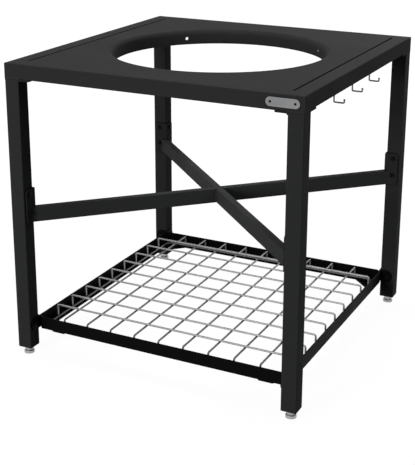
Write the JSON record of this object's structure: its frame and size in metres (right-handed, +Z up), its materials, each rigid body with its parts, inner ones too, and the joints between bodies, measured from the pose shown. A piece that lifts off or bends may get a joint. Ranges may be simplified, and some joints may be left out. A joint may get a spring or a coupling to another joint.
{
  "type": "grill table frame",
  "caption": "Square steel table frame that carries a round grill in a flared cut-out, with a crossed brace, a low tray with a lift-out wire grid, tool hooks and levelling feet.",
  "frame": {"origin": "on the floor, under the centre of the round cut-out", "axes": "+Z up, +X to the right seen from the name plate's side, +Y to the back"},
  "size_m": [0.76, 0.7627, 0.755],
  "materials": {
    "black_powder_coat": "matte black powder coat with a fine texture",
    "black_fastener": "black oxide, satin",
    "bright_wire": "bright zinc or stainless wire, satin",
    "hook_wire": "dark plated wire",
    "zinc_foot": "dull zinc plate",
    "plate_aluminium": "brushed, bare of any marking",
    "insert_plastic": "moulded black nylon",
    "plated_steel": "zinc plated"
  },
  "bodies": {
    "frame": {"brace_bolts": "black_fastener", "brace_bracket_front_left": "black_powder_coat", "brace_bracket_front_right": "black_powder_coat", "brace_bracket_rear_left": "black_powder_coat", "brace_bracket_rear_right": "black_powder_coat", "brace_half_bar_front": "black_powder_coat", "brace_half_bar_rear": "black_powder_coat", "brace_main_bar": "black_powder_coat", "collar_ring": "black_powder_coat", "deck_panel": "black_powder_coat", "front_rail": "black_powder_coat", "hook_sleeves": "plated_steel", "left_rail": "black_powder_coat", "leg_front_left": "black_powder_coat", "leg_front_right": "black_powder_coat", "leg_insert_front_left": "insert_plastic", "leg_insert_front_right": "insert_plastic", "leg_insert_rear_left": "insert_plastic", "leg_insert_rear_right": "insert_plastic", "leg_plate_screws": "black_fastener", "leg_rear_left": "black_powder_coat", "leg_rear_right": "black_powder_coat", "leg_top_plate_front_left": "black_powder_coat", "leg_top_plate_front_right": "black_powder_coat", "leg_top_plate_rear_left": "black_powder_coat", "leg_top_plate_rear_right": "black_powder_coat", "name_plate": "plate_aluminium", "name_plate_rivets": "black_fastener", "rear_rail": "black_powder_coat", "right_rail": "black_powder_coat", "rivet_nuts": "plated_steel", "tool_hook_1": "hook_wire", "tool_hook_2": "hook_wire", "tool_hook_3": "hook_wire", "tray_bolts": "black_fastener", "tray_bracket_front_left": "black_powder_coat", "tray_bracket_front_right": "black_powder_coat", "tray_bracket_rear_left": "black_powder_coat", "tray_bracket_rear_right": "black_powder_coat", "tray_corner_plates": "black_powder_coat", "tray_front_rail": "black_powder_coat", "tray_gusset_front_left": "black_powder_coat", "tray_gusset_front_right": "black_powder_coat", "tray_gusset_rear_left": "black_powder_coat", "tray_gusset_rear_right": "black_powder_coat", "tray_left_rail": "black_powder_coat", "tray_rear_rail": "black_powder_coat", "tray_right_rail": "black_powder_coat"},
    "grid": {"grid_border_wire": "bright_wire", "grid_cross_wires": "bright_wire", "grid_long_wires": "bright_wire"},
    "pad_front_left": {"foot_pad_front_left": "zinc_foot"},
    "stud_front_left": {"foot_stud_front_left": "zinc_foot"},
    "pad_front_right": {"foot_pad_front_right": "zinc_foot"},
    "stud_front_right": {"foot_stud_front_right": "zinc_foot"},
    "pad_rear_left": {"foot_pad_rear_left": "zinc_foot"},
    "stud_rear_left": {"foot_stud_rear_left": "zinc_foot"},
    "pad_rear_right": {"foot_pad_rear_right": "zinc_foot"},
    "stud_rear_right": {"foot_stud_rear_right": "zinc_foot"}
  },
  "joints": [
    {"name": "grid_lift", "type": "slide", "parent": "frame", "child": "grid", "axis": [0, 0, 1], "range_m": [0, 0.2]},
    {"name": "foot_travel_front_left", "type": "slide", "parent": "frame", "child": "pad_front_left", "axis": [0, 0, -1], "range_m": [0, 0.015]},
    {"name": "foot_turn_front_left", "type": "hinge", "parent": "pad_front_left", "child": "stud_front_left", "pos_m": [-0.361, -0.361, 0.0135], "axis": [0, 0, -1], "range_deg": [0, 3600]},
    {"name": "foot_travel_front_right", "type": "slide", "parent": "frame", "child": "pad_front_right", "axis": [0, 0, -1], "range_m": [0, 0.015]},
    {"name": "foot_turn_front_right", "type": "hinge", "parent": "pad_front_right", "child": "stud_front_right", "pos_m": [0.361, -0.361, 0.0135], "axis": [0, 0, -1], "range_deg": [0, 3600]},
    {"name": "foot_travel_rear_left", "type": "slide", "parent": "frame", "child": "pad_rear_left", "axis": [0, 0, -1], "range_m": [0, 0.015]},
    {"name": "foot_turn_rear_left", "type": "hinge", "parent": "pad_rear_left", "child": "stud_rear_left", "pos_m": [-0.361, 0.361, 0.0135], "axis": [0, 0, -1], "range_deg": [0, 3600]},
    {"name": "foot_travel_rear_right", "type": "slide", "parent": "frame", "child": "pad_rear_right", "axis": [0, 0, -1], "range_m": [0, 0.015]},
    {"name": "foot_turn_rear_right", "type": "hinge", "parent": "pad_rear_right", "child": "stud_rear_right", "pos_m": [0.361, 0.361, 0.0135], "axis": [0, 0, -1], "range_deg": [0, 3600]}
  ],
  "couplings": [
    {"joint": "foot_turn_front_left", "follows": "foot_travel_front_left", "rad_per_m": 4188.8},
    {"joint": "foot_turn_front_right", "follows": "foot_travel_front_right", "rad_per_m": 4188.8},
    {"joint": "foot_turn_rear_left", "follows": "foot_travel_rear_left", "rad_per_m": 4188.8},
    {"joint": "foot_turn_rear_right", "follows": "foot_travel_rear_right", "rad_per_m": 4188.8}
  ]
}
